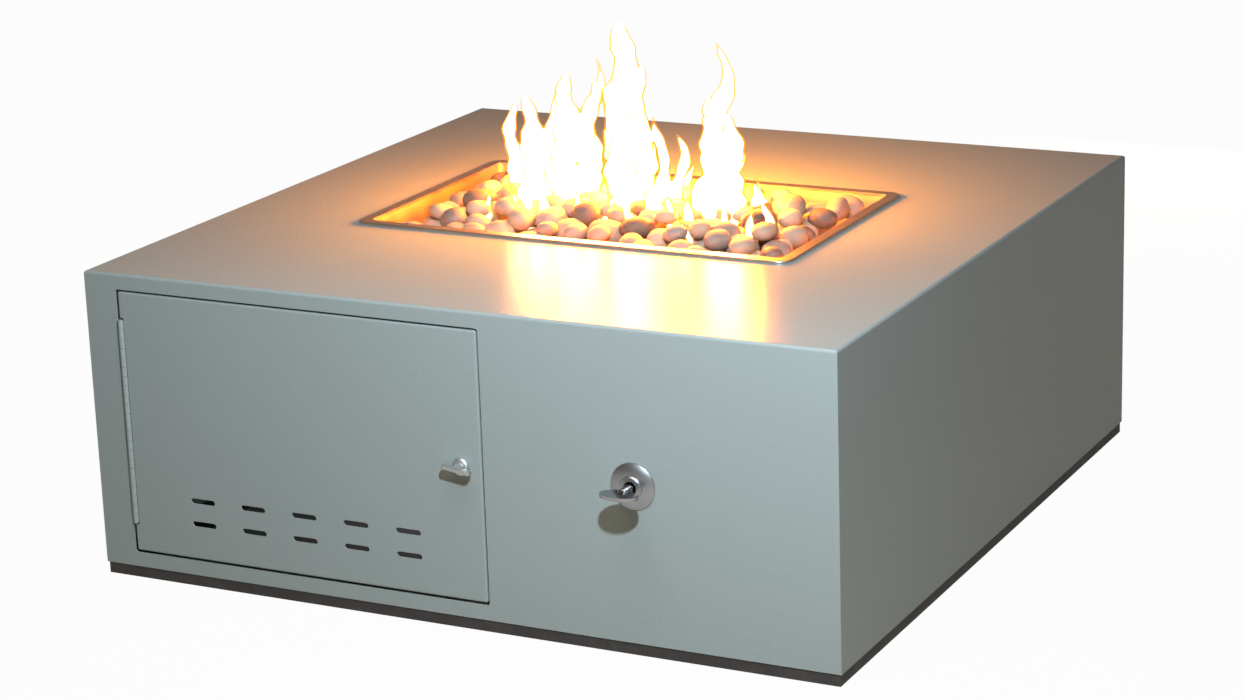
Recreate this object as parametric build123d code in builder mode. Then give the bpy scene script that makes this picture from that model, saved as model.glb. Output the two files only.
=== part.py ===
from build123d import *

import math
import os
import random

import numpy as np

# Gas fire pit: a square sheet-steel case with a drop-in burner pan in its top,
# a hinged access door and a key valve on its front.
# Millimetres. Origin on the ground under the middle of the case,
# X to the right, Y to the back, Z up. The front face looks along -Y.

# Case
case_side = 1067.0  # 42 in square
shell_height = 404.0
ground_gap = 16.0  # height of the base frame that shows below the shell
sheet = 2.0  # 14 gauge steel
edge_bend = 4.0  # outer radius of the bend round the top
top_lip = 12.0  # depth of the top panel's turned-down edge

# Base frame and corner braces
frame_leg = 30.0
frame_rise = 26.0
frame_wall = 3.0
brace_leg = 25.0
brace_wall = 2.0

# Door opening and door
opening_inset = 48.0  # from the left side of the case
opening_rise = 20.0  # above the bottom edge of the shell
opening_width = 540.0
opening_drop = 21.0  # from the top of the shell to the opening's upper edge
opening_corner = 4.0
door_gap = 3.0
door_depth = 18.0  # depth of the door's folded returns
door_corner = 3.0
door_bend = 2.5  # outer radius of the folds
slot_length = 37.0
slot_width = 7.5
slot_columns = 5
slot_rows = 2
slot_pitch = 78.0
slot_row_pitch = 32.0
slot_rise = 68.0  # middle of the slot rows above the opening's lower edge

# Door stops, folded strips behind three sides of the opening
stop_wall = 1.5
stop_leg = 7.0
stop_setback = 1.5  # from the opening's edge to the strip
stop_overlap = 9.0  # how far the lip reaches behind the door's return
stop_inset = 40.0  # from the opening's corner to the strip's end
seat_gap = 0.3  # between pieces that only rest on each other

# Continuous hinge
hinge_rise = 42.5  # lower end above the opening's lower edge
hinge_inset = 5.0  # pin centre from the opening's left edge
knuckle_count = 22
knuckle_pitch = 12.7
knuckle_gap = 0.4
knuckle_radius = 3.8
pin_radius = 1.25
pin_head_radius = 2.2
pin_head_height = 1.2
leaf_wall = 1.2
leaf_width = 25.0
leaf_clearance = 0.8
run_gap = 0.05  # radial running fit of a shaft in its bore

# Quarter-turn latch
latch_inset = 29.0  # from the door's free edge
latch_rise = 181.0  # above the opening's lower edge
latch_tilt = 8.0  # the wing stands a little off level
rose_radius = 12.0
rose_height = 5.0
rose_face_radius = 7.5
rose_edge = 1.0  # straight part of the rim
rose_bulge = 0.9
latch_barrel_radius = 8.0
latch_shaft_radius = 4.0
latch_square = 5.6
latch_nut_flats = 22.0
latch_nut_height = 5.0
wing_width = 41.0
wing_wall = 4.0
wing_reach = 18.5  # tip of the wing in front of the door
wing_corner = 4.5
wing_hub_radius = 6.5
wing_hub_height = 3.0
cam_length = 38.0
cam_width = 14.0
cam_wall = 2.5
cam_screw_radius = 1.5
cam_screw_length = 8.0
cam_screw_head_radius = 5.0
cam_screw_head_height = 2.2
cam_screw_head_round = 0.9

# Key valve
valve_inset = 271.0  # from the right side of the case
valve_rise = 205.0  # above the bottom edge of the shell
valve_depth = 48.0  # middle of the valve body behind the front face
valve_body_radius = 17.0
valve_half_height = 34.0
valve_hex_flats = 36.0
valve_hex_height = 16.0
valve_neck_radius = 15.0
port_radius = 9.5
port_depth = 15.0
plug_radius = 9.0
flow_radius = 5.0
bonnet_radius = 12.5
bonnet_bore = 7.0
bonnet_length = 36.0
locknut_flats = 34.0
locknut_height = 6.0
stem_radius = 4.5
stem_square = 6.35
stem_square_length = 14.5
thread_gap = 0.1  # radial gap of a screwed joint
panel_hole_gap = 0.5

# Escutcheon
escutcheon_radius = 30.0
escutcheon_wall = 1.5
escutcheon_edge = 1.6
escutcheon_dome = 7.0
escutcheon_bulge = 1.1
escutcheon_relief = 0.4  # the back of the boss stands off the panel
boss_radius = 15.0
boss_height = 10.0
boss_bore = 8.0
boss_bore_chamfer = 1.0
boss_chamfer = 1.2
boss_seat = 6.2  # depth that the bonnet screws into the boss

# Gas key
key_length = 76.2
key_tip = 54.0  # tip of the paddle in front of the front face
paddle_width = 51.0
paddle_depth = 30.0
paddle_wall = 4.5
paddle_edge = 1.35
shank_radius = 6.0
shank_overlap = 8.4  # how far the shank runs into the paddle
socket_depth = 16.0
socket_gap = 0.2

# Burner pan
rim_length = 648.0
rim_width = 400.0
rim_corner = 20.0
rim_rise = 4.0
rim_bend = 1.8
flange_width = 17.0
pan_depth = 38.0
pan_wall = 1.2
pan_corner = 8.0
pan_floor_bend = 5.0
cutout_gap = 2.0

# Burner
burner_length = 380.0
burner_spacing = 150.0
burner_radius = 6.4
burner_wall = 1.0
burner_rise = 6.0  # under side of the tubes above the pan floor
burner_port_radius = 1.5
burner_port_pitch = 38.0
burner_ports = 9
hub_radius = 14.0
foot_length = 14.0
foot_width = 8.0
foot_inset = 30.0
foot_cradle = 2.0  # how far the feet reach up the sides of the tube

# Pipework under the pan
nipple_radius = 10.65
nipple_bore = 7.9
nipple_engagement = 6.0
nut_flats = 30.0
nut_height = 4.0
elbow_drop = 34.0  # centre line of the side run below the pan
elbow_radius = 13.0
elbow_bend = 15.0
collar_radius = 16.0
collar_height = 11.0
mixer_radius = 14.0
mixer_length = 60.0
mixer_bore = 8.5
window_length = 26.0
window_width = 9.0
fitting_flats = 27.0
fitting_height = 9.0
fitting_spigot = 8.0
flare_radius = 7.0
flare_length = 10.0
flare_bore = 4.0
hose_nut_flats = 22.0
hose_nut_height = 16.0
hose_radius = 8.0
hose_bore = 5.5
hose_bend = 56.0

# River pebbles
pebble_seed = 11
pebble_least = 17.0  # half length of the smallest and the largest stone
pebble_most = 26.0
pebble_widths = (0.72, 0.92)  # least and most width and height as shares of the length
pebble_heights = (0.56, 0.76)
pebble_lean = 24.0  # most that a stone lies off level, in degrees
pebble_skew = 0.16  # most that a corner leaves its even place, as a share of a side
pebble_sides = 8
pebble_gap = 0.3
pebble_wall_gap = 5.0
pebble_end_gap = 20.0  # the stones stop short of the pan's two ends
pebble_crown = 24.0  # how far the heap may stand above the rim at its middle
pebble_edge = -8.0  # and along the pan's walls
pebble_slope = 90.0  # width of the heap's sloping border
pebble_tries = 40
pebble_drops = 520
pale_share = 0.62
grey_share = 0.22

# Levels and lines worked out from the sizes above
half = case_side / 2
front = -half
panel_back = front + sheet
shell_z = ground_gap
top_z = ground_gap + shell_height
lip_z = top_z - top_lip

opening_left = -half + opening_inset
opening_right = opening_left + opening_width
opening_bottom = shell_z + opening_rise
opening_top = top_z - opening_drop
opening_height = opening_top - opening_bottom
opening_x = (opening_left + opening_right) / 2
opening_z = (opening_bottom + opening_top) / 2

door_width = opening_width - 2 * door_gap
door_height = opening_height - 2 * door_gap
door_right = opening_right - door_gap

hinge_x = opening_left + hinge_inset
hinge_y = panel_back + leaf_wall - knuckle_radius
hinge_z = opening_bottom + hinge_rise
hinge_length = knuckle_count * knuckle_pitch

latch_x = door_right - latch_inset
latch_z = opening_bottom + latch_rise
cam_depth = door_depth + seat_gap + stop_wall + seat_gap  # cam's near face behind the front

valve_x = half - valve_inset
valve_z = shell_z + valve_rise
bonnet_back = boss_seat - bonnet_length  # measured outwards from the front face
valve_top = valve_z + valve_half_height

basin_length = rim_length - 2 * flange_width
basin_width = rim_width - 2 * flange_width
rim_z = top_z + rim_rise
floor_z = rim_z - pan_depth
pan_under = floor_z - pan_wall
burner_z = floor_z + burner_rise + burner_radius
hub_under = floor_z + nut_height + seat_gap
elbow_z = pan_under - elbow_drop


# Working planes
def facing(x, z, depth=0.0, turn=0.0):
    """A plane parallel to the front face, looking out of it, turned clockwise as seen from the front."""
    angle = math.radians(turn)
    return Plane(
        origin=(x, front + depth, z),
        x_dir=(math.cos(angle), 0, -math.sin(angle)),
        z_dir=(0, -1, 0),
    )


def turning(x, z):
    """A plane through a front-to-back axis: its X is the radius and its Y runs outwards."""
    return Plane(origin=(x, front, z), x_dir=(1, 0, 0), z_dir=(0, 0, -1))


def outward_axis(x, z):
    return Axis((x, front, z), (0, -1, 0))


def hexagon(flats):
    RegularPolygon(radius=flats / 2, side_count=6, major_radius=False)


# Top panel, a shallow tray with bent edges and the cut-out for the pan
with BuildPart() as top_panel:
    with BuildSketch(Plane.XY.offset(lip_z)):
        Rectangle(case_side, case_side)
    extrude(amount=top_lip)
    fillet(top_panel.faces().sort_by(Axis.Z)[-1].edges(), edge_bend)
    offset(amount=-sheet, openings=top_panel.faces().sort_by(Axis.Z)[0])
    with BuildSketch(Plane.XY.offset(top_z)):
        RectangleRounded(
            basin_length + 2 * pan_wall + 2 * cutout_gap,
            basin_width + 2 * pan_wall + 2 * cutout_gap,
            pan_corner + pan_wall + cutout_gap,
        )
    extrude(amount=-2 * sheet, mode=Mode.SUBTRACT)

# Front panel, with the door opening and the hole for the valve bonnet
with BuildPart() as front_panel:
    with BuildSketch(facing(0, (shell_z + lip_z) / 2)):
        Rectangle(case_side, lip_z - shell_z)
    extrude(amount=-sheet)
    with BuildSketch(facing(opening_x, opening_z)):
        RectangleRounded(opening_width, opening_height, opening_corner)
    extrude(amount=-sheet, mode=Mode.SUBTRACT)
    with BuildSketch(facing(valve_x, valve_z)):
        Circle(bonnet_radius + panel_hole_gap)
    extrude(amount=-sheet, mode=Mode.SUBTRACT)

with BuildPart() as back_panel:
    with BuildSketch(facing(0, (shell_z + lip_z) / 2, depth=case_side)):
        Rectangle(case_side, lip_z - shell_z)
    extrude(amount=sheet)


# Side panels, butted between the front and the back
def side_panel(side):
    with BuildPart() as panel:
        with BuildSketch(Plane.XY.offset(shell_z)):
            with Locations((side * (half - sheet / 2), 0)):
                Rectangle(sheet, case_side - 2 * sheet)
        extrude(amount=lip_z - shell_z)
    return panel


left_panel = side_panel(-1)
right_panel = side_panel(1)

# Base frame, a welded ring of angle standing just inside the shell
with BuildPart() as base_frame:
    with BuildSketch(Plane.XY):
        Rectangle(case_side - 2 * sheet, case_side - 2 * sheet)
        Rectangle(
            case_side - 2 * sheet - 2 * frame_leg,
            case_side - 2 * sheet - 2 * frame_leg,
            mode=Mode.SUBTRACT,
        )
    extrude(amount=frame_wall)
    with BuildSketch(Plane.XY):
        Rectangle(case_side - 2 * sheet, case_side - 2 * sheet)
        Rectangle(
            case_side - 2 * sheet - 2 * frame_wall,
            case_side - 2 * sheet - 2 * frame_wall,
            mode=Mode.SUBTRACT,
        )
    extrude(amount=frame_rise)

# Corner braces, an angle standing on the base frame in each corner
with BuildPart() as corner_braces:
    for turn in range(4):
        with BuildSketch(Plane.XY.offset(frame_rise).rotated((0, 0, 90 * turn))):
            with Locations((half - sheet, half - sheet)):
                Rectangle(brace_leg, brace_leg, align=(Align.MAX, Align.MAX))
            with Locations((half - sheet - brace_wall, half - sheet - brace_wall)):
                Rectangle(brace_leg, brace_leg, align=(Align.MAX, Align.MAX), mode=Mode.SUBTRACT)
        extrude(amount=lip_z - frame_rise)


# Door stops: a leg on the panel's back, a web going back and a lip behind the door's return
def door_stop(edge_plane, length):
    """edge_plane: origin on the opening's edge at the panel's back, X away from the opening, Y back."""
    lip_face = door_depth - sheet + seat_gap
    with BuildPart() as stop:
        with BuildSketch(edge_plane):
            with BuildLine():
                Polyline(
                    (stop_setback + stop_leg, 0),
                    (stop_setback + stop_leg, stop_wall),
                    (stop_setback + stop_wall, stop_wall),
                    (stop_setback + stop_wall, lip_face + stop_wall),
                    (-door_gap - stop_overlap, lip_face + stop_wall),
                    (-door_gap - stop_overlap, lip_face),
                    (stop_setback, lip_face),
                    (stop_setback, 0),
                    close=True,
                )
            make_face()
        extrude(amount=length / 2, both=True)
    return stop


door_stop_top = door_stop(
    Plane(origin=(opening_x, panel_back, opening_top), x_dir=(0, 0, 1), z_dir=(-1, 0, 0)),
    opening_width - 2 * stop_inset,
)
door_stop_bottom = door_stop(
    Plane(origin=(opening_x, panel_back, opening_bottom), x_dir=(0, 0, -1), z_dir=(1, 0, 0)),
    opening_width - 2 * stop_inset,
)
door_strike = door_stop(
    Plane(origin=(opening_right, panel_back, opening_z), x_dir=(1, 0, 0), z_dir=(0, 0, 1)),
    opening_height - 2 * stop_inset,
)

# Door, a folded pan with vent slots, notched for the hinge and bored for the latch
with BuildPart() as door_panel:
    with BuildSketch(facing(opening_x, opening_z)):
        RectangleRounded(door_width, door_height, door_corner)
    extrude(amount=-door_depth)
    fillet(door_panel.faces().sort_by(Axis.Y)[0].edges(), door_bend)
    offset(amount=-sheet, openings=door_panel.faces().sort_by(Axis.Y)[-1], kind=Kind.INTERSECTION)
    with BuildSketch(facing(hinge_x, hinge_z + hinge_length / 2)):
        Rectangle(
            2 * (knuckle_radius + leaf_clearance),
            hinge_length + 2 * door_gap,
        )
    extrude(amount=-door_depth, mode=Mode.SUBTRACT)
    with BuildSketch(facing(opening_x, opening_bottom + slot_rise)):
        with GridLocations(slot_pitch, slot_row_pitch, slot_columns, slot_rows):
            SlotOverall(slot_length, slot_width)
    extrude(amount=-sheet, mode=Mode.SUBTRACT)
    with BuildSketch(facing(latch_x, latch_z)):
        Circle(latch_barrel_radius + thread_gap)
    extrude(amount=-sheet, mode=Mode.SUBTRACT)


# Continuous hinge: each leaf carries every other knuckle
def hinge_leaf(side, first):
    with BuildPart() as leaf:
        with BuildSketch(Plane.XY.offset(hinge_z)):
            with Locations((hinge_x + side * (knuckle_radius + leaf_clearance), panel_back)):
                Rectangle(
                    leaf_width - knuckle_radius - leaf_clearance,
                    leaf_wall,
                    align=(Align.MIN if side > 0 else Align.MAX, Align.MIN),
                )
        extrude(amount=hinge_length)
        for index in range(first, knuckle_count, 2):
            with BuildSketch(Plane.XY.offset(hinge_z + index * knuckle_pitch + knuckle_gap / 2)):
                with Locations((hinge_x, hinge_y)):
                    Circle(knuckle_radius)
                with Locations((hinge_x, panel_back)):
                    Rectangle(
                        knuckle_radius + 2 * leaf_clearance,
                        leaf_wall,
                        align=(Align.MIN if side > 0 else Align.MAX, Align.MIN),
                    )
                with Locations((hinge_x, hinge_y)):
                    Circle(pin_radius + run_gap, mode=Mode.SUBTRACT)
            extrude(amount=knuckle_pitch - knuckle_gap)
    return leaf


hinge_body_leaf = hinge_leaf(-1, 0)
hinge_door_leaf = hinge_leaf(1, 1)

with BuildPart() as hinge_pin:
    with BuildSketch(Plane.XY.offset(hinge_z)):
        with Locations((hinge_x, hinge_y)):
            Circle(pin_radius)
    extrude(amount=hinge_length)
    for level, direction in ((hinge_z, -1), (hinge_z + hinge_length, 1)):
        with BuildSketch(Plane.XY.offset(level)):
            with Locations((hinge_x, hinge_y)):
                Circle(pin_head_radius)
        extrude(amount=direction * pin_head_height)

# Latch housing, a domed rose with a threaded barrel through the door
with BuildPart() as latch_housing:
    with BuildSketch(turning(latch_x, latch_z)):
        with BuildLine():
            Polyline(
                (rose_face_radius, rose_height),
                (latch_shaft_radius + run_gap, rose_height),
                (latch_shaft_radius + run_gap, seat_gap - cam_depth),
                (latch_barrel_radius, seat_gap - cam_depth),
                (latch_barrel_radius, 0),
                (rose_radius, 0),
                (rose_radius, rose_edge),
            )
            ThreePointArc(
                (rose_radius, rose_edge),
                (
                    (rose_radius + rose_face_radius) / 2 + rose_bulge,
                    (rose_height + rose_edge) / 2 + rose_bulge,
                ),
                (rose_face_radius, rose_height),
            )
        make_face()
    revolve(axis=outward_axis(latch_x, latch_z))

with BuildPart() as latch_nut:
    with BuildSketch(facing(latch_x, latch_z, depth=sheet)):
        hexagon(latch_nut_flats)
        Circle(latch_barrel_radius + thread_gap, mode=Mode.SUBTRACT)
    extrude(amount=-latch_nut_height)

# Latch wing: a thumb bar on a round hub, with the shaft and the square that carries the cam
with BuildPart() as latch_wing:
    with BuildSketch(facing(latch_x, latch_z, depth=-rose_height - seat_gap)):
        Circle(wing_hub_radius)
    extrude(amount=wing_hub_height)
    wing_plane = Plane(
        origin=(latch_x, front, latch_z),
        x_dir=facing(latch_x, latch_z, turn=latch_tilt).x_dir,
        z_dir=-facing(latch_x, latch_z, turn=latch_tilt).y_dir,
    )
    with BuildSketch(wing_plane):
        with Locations((0, rose_height + seat_gap + wing_hub_height / 2)):
            RectangleRounded(
                wing_width,
                wing_reach - rose_height - seat_gap - wing_hub_height / 2,
                wing_corner,
                align=(Align.CENTER, Align.MIN),
            )
    extrude(amount=wing_wall / 2, both=True)
    with BuildSketch(facing(latch_x, latch_z, depth=-rose_height - seat_gap)):
        Circle(latch_shaft_radius)
    extrude(amount=-(rose_height + seat_gap + cam_depth - seat_gap / 2))
    with BuildSketch(facing(latch_x, latch_z, depth=cam_depth - seat_gap, turn=latch_tilt)):
        Rectangle(latch_square, latch_square)
    extrude(amount=-(seat_gap + cam_wall))
    with BuildSketch(facing(latch_x, latch_z, depth=cam_depth + cam_wall)):
        Circle(cam_screw_radius + thread_gap)
    extrude(amount=cam_screw_length, mode=Mode.SUBTRACT)

with BuildPart() as latch_cam:
    with BuildSketch(facing(latch_x, latch_z, depth=cam_depth, turn=latch_tilt)):
        with Locations((0, (cam_width - cam_length) / 2)):
            SlotOverall(cam_length, cam_width, rotation=90)
        Rectangle(latch_square + 2 * thread_gap, latch_square + 2 * thread_gap, mode=Mode.SUBTRACT)
    extrude(amount=-cam_wall)

with BuildPart() as cam_screw:
    with BuildSketch(facing(latch_x, latch_z, depth=cam_depth + cam_wall)):
        Circle(cam_screw_radius)
    extrude(amount=cam_screw_length - seat_gap)
    with BuildSketch(facing(latch_x, latch_z, depth=cam_depth + cam_wall)):
        Circle(cam_screw_head_radius)
    extrude(amount=-cam_screw_head_height)
    fillet(cam_screw.faces().sort_by(Axis.Y)[-1].edges(), cam_screw_head_round)

# Valve body: a brass plug cock with a hexagon at each port and a neck for the bonnet
with BuildPart() as valve_body:
    valve_plane = Plane(origin=(valve_x, front + valve_depth, valve_z))
    with BuildSketch(valve_plane.offset(-valve_half_height)):
        Circle(valve_body_radius)
    extrude(amount=2 * valve_half_height)
    for level in (-valve_half_height, valve_half_height - valve_hex_height):
        with BuildSketch(valve_plane.offset(level)):
            hexagon(valve_hex_flats)
        extrude(amount=valve_hex_height)
    with BuildSketch(facing(valve_x, valve_z, depth=-bonnet_back)):
        Circle(valve_neck_radius)
    extrude(amount=-(valve_depth + bonnet_back))
    with BuildSketch(facing(valve_x, valve_z, depth=-bonnet_back)):
        Circle(plug_radius + run_gap)
    extrude(amount=-(valve_depth + bonnet_back + plug_radius + flow_radius), mode=Mode.SUBTRACT)
    with BuildSketch(valve_plane.offset(-valve_half_height)):
        Circle(flow_radius)
    extrude(amount=2 * valve_half_height, mode=Mode.SUBTRACT)
    for level, direction in ((-valve_half_height, 1), (valve_half_height, -1)):
        with BuildSketch(valve_plane.offset(level)):
            Circle(port_radius)
        extrude(amount=direction * port_depth, mode=Mode.SUBTRACT)

# Bonnet, the threaded sleeve that holds the plug in and passes through the panel
with BuildPart() as valve_bonnet:
    with BuildSketch(facing(valve_x, valve_z, depth=-bonnet_back)):
        Circle(bonnet_radius)
        Circle(bonnet_bore, mode=Mode.SUBTRACT)
    extrude(amount=bonnet_length)

with BuildPart() as valve_locknut:
    with BuildSketch(facing(valve_x, valve_z, depth=sheet)):
        hexagon(locknut_flats)
        Circle(bonnet_radius + thread_gap, mode=Mode.SUBTRACT)
    extrude(amount=-locknut_height)

# Spindle: the plug with its cross bore, the round stem and the square for the key
key_inner = key_tip - key_length  # inner end of the key, outwards from the front face
square_back = key_inner - 2 * seat_gap
with BuildPart() as valve_spindle:
    with BuildSketch(facing(valve_x, valve_z, depth=-bonnet_back + seat_gap)):
        Circle(plug_radius)
    extrude(amount=-(valve_depth + bonnet_back + plug_radius + flow_radius - 2 * seat_gap))
    with BuildSketch(facing(valve_x, valve_z, depth=-bonnet_back + seat_gap)):
        Circle(stem_radius)
    extrude(amount=square_back - bonnet_back + seat_gap)
    with BuildSketch(facing(valve_x, valve_z, depth=-square_back)):
        Rectangle(stem_square, stem_square)
    extrude(amount=stem_square_length)
    with BuildSketch(Plane(origin=(valve_x, front + valve_depth, valve_z))):
        Circle(flow_radius)
    extrude(amount=plug_radius, both=True, mode=Mode.SUBTRACT)

# Escutcheon, a domed disc with a raised boss that screws onto the bonnet
dome_middle = (escutcheon_dome + escutcheon_edge) / 2 + escutcheon_bulge
hollow_radius = boss_radius + escutcheon_relief
with BuildPart() as escutcheon:
    with BuildSketch(turning(valve_x, valve_z)):
        with BuildLine():
            Polyline(
                (bonnet_radius + thread_gap, escutcheon_relief),
                (bonnet_radius + thread_gap, boss_seat),
                (boss_bore, boss_seat),
                (boss_bore, boss_height - boss_bore_chamfer),
                (boss_bore + boss_bore_chamfer, boss_height),
                (boss_radius - boss_chamfer, boss_height),
                (boss_radius, boss_height - boss_chamfer),
                (boss_radius, escutcheon_dome),
            )
            ThreePointArc(
                (boss_radius, escutcheon_dome),
                ((boss_radius + escutcheon_radius) / 2, dome_middle),
                (escutcheon_radius, escutcheon_edge),
            )
            Polyline(
                (escutcheon_radius, escutcheon_edge),
                (escutcheon_radius, 0),
                (escutcheon_radius - escutcheon_wall, 0),
            )
            ThreePointArc(
                (escutcheon_radius - escutcheon_wall, 0),
                ((hollow_radius + escutcheon_radius - escutcheon_wall) / 2, dome_middle - escutcheon_wall),
                (hollow_radius, escutcheon_dome - escutcheon_wall),
            )
            Polyline(
                (hollow_radius, escutcheon_dome - escutcheon_wall),
                (boss_radius, escutcheon_relief),
                (bonnet_radius + thread_gap, escutcheon_relief),
            )
        make_face()
    revolve(axis=outward_axis(valve_x, valve_z))

# Gas key: an oval paddle on a round shank with a square socket
with BuildPart() as gas_key:
    with BuildSketch(facing(valve_x, valve_z, depth=-key_inner)):
        Circle(shank_radius)
    extrude(amount=key_length - paddle_depth + shank_overlap)
    paddle_plane = Plane(
        origin=(valve_x, front - key_tip + paddle_depth / 2, valve_z),
        x_dir=(1, 0, 0),
        z_dir=(0, 0, 1),
    )
    with BuildSketch(paddle_plane):
        Ellipse(paddle_width / 2, paddle_depth / 2)
    extrude(amount=paddle_wall / 2, both=True)
    fillet(gas_key.faces().sort_by(Axis.Z)[-1].edges(), paddle_edge)
    fillet(gas_key.faces().sort_by(Axis.Z)[0].edges(), paddle_edge)
    with BuildSketch(facing(valve_x, valve_z, depth=-key_inner)):
        Rectangle(stem_square + 2 * socket_gap, stem_square + 2 * socket_gap)
    extrude(amount=socket_depth, mode=Mode.SUBTRACT)

# Burner pan: a hemmed flange resting on the top, and a basin hanging in the cut-out
with BuildPart() as burner_pan:
    with BuildSketch(Plane.XY.offset(top_z)):
        RectangleRounded(rim_length, rim_width, rim_corner)
    extrude(amount=rim_rise)
    fillet(burner_pan.faces().sort_by(Axis.Z)[-1].edges(), rim_bend)
    with BuildSketch(Plane.XY.offset(top_z)):
        RectangleRounded(rim_length - 2 * pan_wall, rim_width - 2 * pan_wall, rim_corner - pan_wall)
    extrude(amount=rim_rise - pan_wall, mode=Mode.SUBTRACT)
    with BuildSketch(Plane.XY.offset(pan_under)):
        RectangleRounded(basin_length + 2 * pan_wall, basin_width + 2 * pan_wall, pan_corner + pan_wall)
    extrude(amount=rim_z - pan_under)
    with BuildSketch(Plane.XY.offset(rim_z)):
        RectangleRounded(basin_length, basin_width, pan_corner)
    extrude(amount=-pan_depth, mode=Mode.SUBTRACT)
    floor_edges = burner_pan.faces().filter_by(Plane.XY).group_by(Axis.Z)[1].edges()
    fillet(floor_edges, pan_floor_bend)
    fillet(burner_pan.faces().sort_by(Axis.Z)[0].edges(), pan_floor_bend + pan_wall)
    with BuildSketch(Plane.XY.offset(floor_z)):
        Circle(nipple_radius + thread_gap)
    extrude(amount=-pan_wall, mode=Mode.SUBTRACT)


# Burner: two ported tubes joined by a cross tube, with the inlet hub in the middle
def burner_tubes(radius, end_wall):
    """The H of tubes as solid rods of one radius, each end pulled in by end_wall."""
    bar_plane = Plane(origin=(0, 0, burner_z), x_dir=(0, 1, 0), z_dir=(1, 0, 0))
    with BuildPart() as tubes:
        with BuildSketch(bar_plane):
            with Locations((-burner_spacing / 2, 0), (burner_spacing / 2, 0)):
                Circle(radius)
        extrude(amount=burner_length / 2 - end_wall, both=True)
        with BuildSketch(Plane(origin=(0, 0, burner_z), x_dir=(1, 0, 0), z_dir=(0, 1, 0))):
            Circle(radius)
        extrude(amount=burner_spacing / 2, both=True)
    return tubes.part


tube_outside = burner_tubes(burner_radius, 0)
tube_inside = burner_tubes(burner_radius - burner_wall, burner_wall)
with BuildPart() as h_burner:
    add(tube_outside)
    with BuildSketch(Plane.XY.offset(hub_under)):
        Circle(hub_radius)
    extrude(amount=burner_z - hub_under)
    add(tube_inside, mode=Mode.SUBTRACT)
    with BuildSketch(Plane.XY.offset(hub_under)):
        Circle(nipple_radius + thread_gap)
    extrude(amount=nipple_engagement, mode=Mode.SUBTRACT)
    with BuildSketch(Plane.XY.offset(hub_under)):
        Circle(burner_radius - burner_wall)
    extrude(amount=burner_z - hub_under, mode=Mode.SUBTRACT)
    with BuildSketch(Plane.XY.offset(burner_z)):
        with GridLocations(burner_port_pitch, burner_spacing, burner_ports, 2):
            Circle(burner_port_radius)
    extrude(amount=burner_radius, mode=Mode.SUBTRACT)

with BuildPart() as burner_feet:
    with BuildSketch(Plane.XY.offset(floor_z)):
        with GridLocations(burner_length - 2 * foot_inset, burner_spacing, 2, 2):
            Rectangle(foot_length, foot_width)
    extrude(amount=burner_rise + foot_cradle)
    with BuildSketch(Plane(origin=(0, 0, burner_z), x_dir=(0, 1, 0), z_dir=(1, 0, 0))):
        with Locations((-burner_spacing / 2, 0), (burner_spacing / 2, 0)):
            Circle(burner_radius + run_gap)
    extrude(amount=burner_length / 2, both=True, mode=Mode.SUBTRACT)

# Inlet nipple, from the hub down to the elbow, and the nuts that clamp it to the pan floor
nipple_low = elbow_z + elbow_bend + collar_height - nipple_engagement
with BuildPart() as inlet_nipple:
    with BuildSketch(Plane.XY.offset(nipple_low)):
        Circle(nipple_radius)
        Circle(nipple_bore, mode=Mode.SUBTRACT)
    extrude(amount=hub_under + nipple_engagement - nipple_low)

with BuildPart() as pan_nuts:
    for level, direction in ((floor_z, 1), (pan_under, -1)):
        with BuildSketch(Plane.XY.offset(level)):
            hexagon(nut_flats)
            Circle(nipple_radius + thread_gap, mode=Mode.SUBTRACT)
        extrude(amount=direction * nut_height)

# The side run points from under the pan straight at the valve
run_length = math.hypot(valve_x, front + valve_depth)
run_x = valve_x / run_length
run_y = (front + valve_depth) / run_length


def side_run(distance):
    """A plane square to the side run, at a distance from the middle of the pan."""
    return Plane(
        origin=(run_x * distance, run_y * distance, elbow_z),
        x_dir=(-run_y, run_x, 0),
        z_dir=(run_x, run_y, 0),
    )


run_plane = Plane(origin=(0, 0, elbow_z), x_dir=(run_x, run_y, 0), z_dir=(run_y, -run_x, 0))


def elbow_line():
    """A quarter bend in the run plane with a collar's length at each end."""
    far = elbow_bend + collar_height
    with BuildLine(run_plane) as line:
        Line((0, far), (0, elbow_bend))
        RadiusArc((0, elbow_bend), (elbow_bend, 0), -elbow_bend)
        Line((elbow_bend, 0), (far, 0))
    return line.line


elbow_top = Plane.XY.offset(elbow_z + elbow_bend + collar_height)
elbow_end = side_run(elbow_bend + collar_height)
with BuildPart() as pipe_elbow:
    with BuildSketch(elbow_top):
        Circle(elbow_radius)
    sweep(path=elbow_line())
    for end_plane in (elbow_top, elbow_end):
        with BuildSketch(end_plane):
            Circle(collar_radius)
        extrude(amount=-collar_height)
    with BuildSketch(elbow_top):
        Circle(nipple_bore)
    sweep(path=elbow_line(), mode=Mode.SUBTRACT)
    for end_plane in (elbow_top, elbow_end):
        with BuildSketch(end_plane):
            Circle(nipple_radius + thread_gap)
        extrude(amount=-nipple_engagement, mode=Mode.SUBTRACT)

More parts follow.
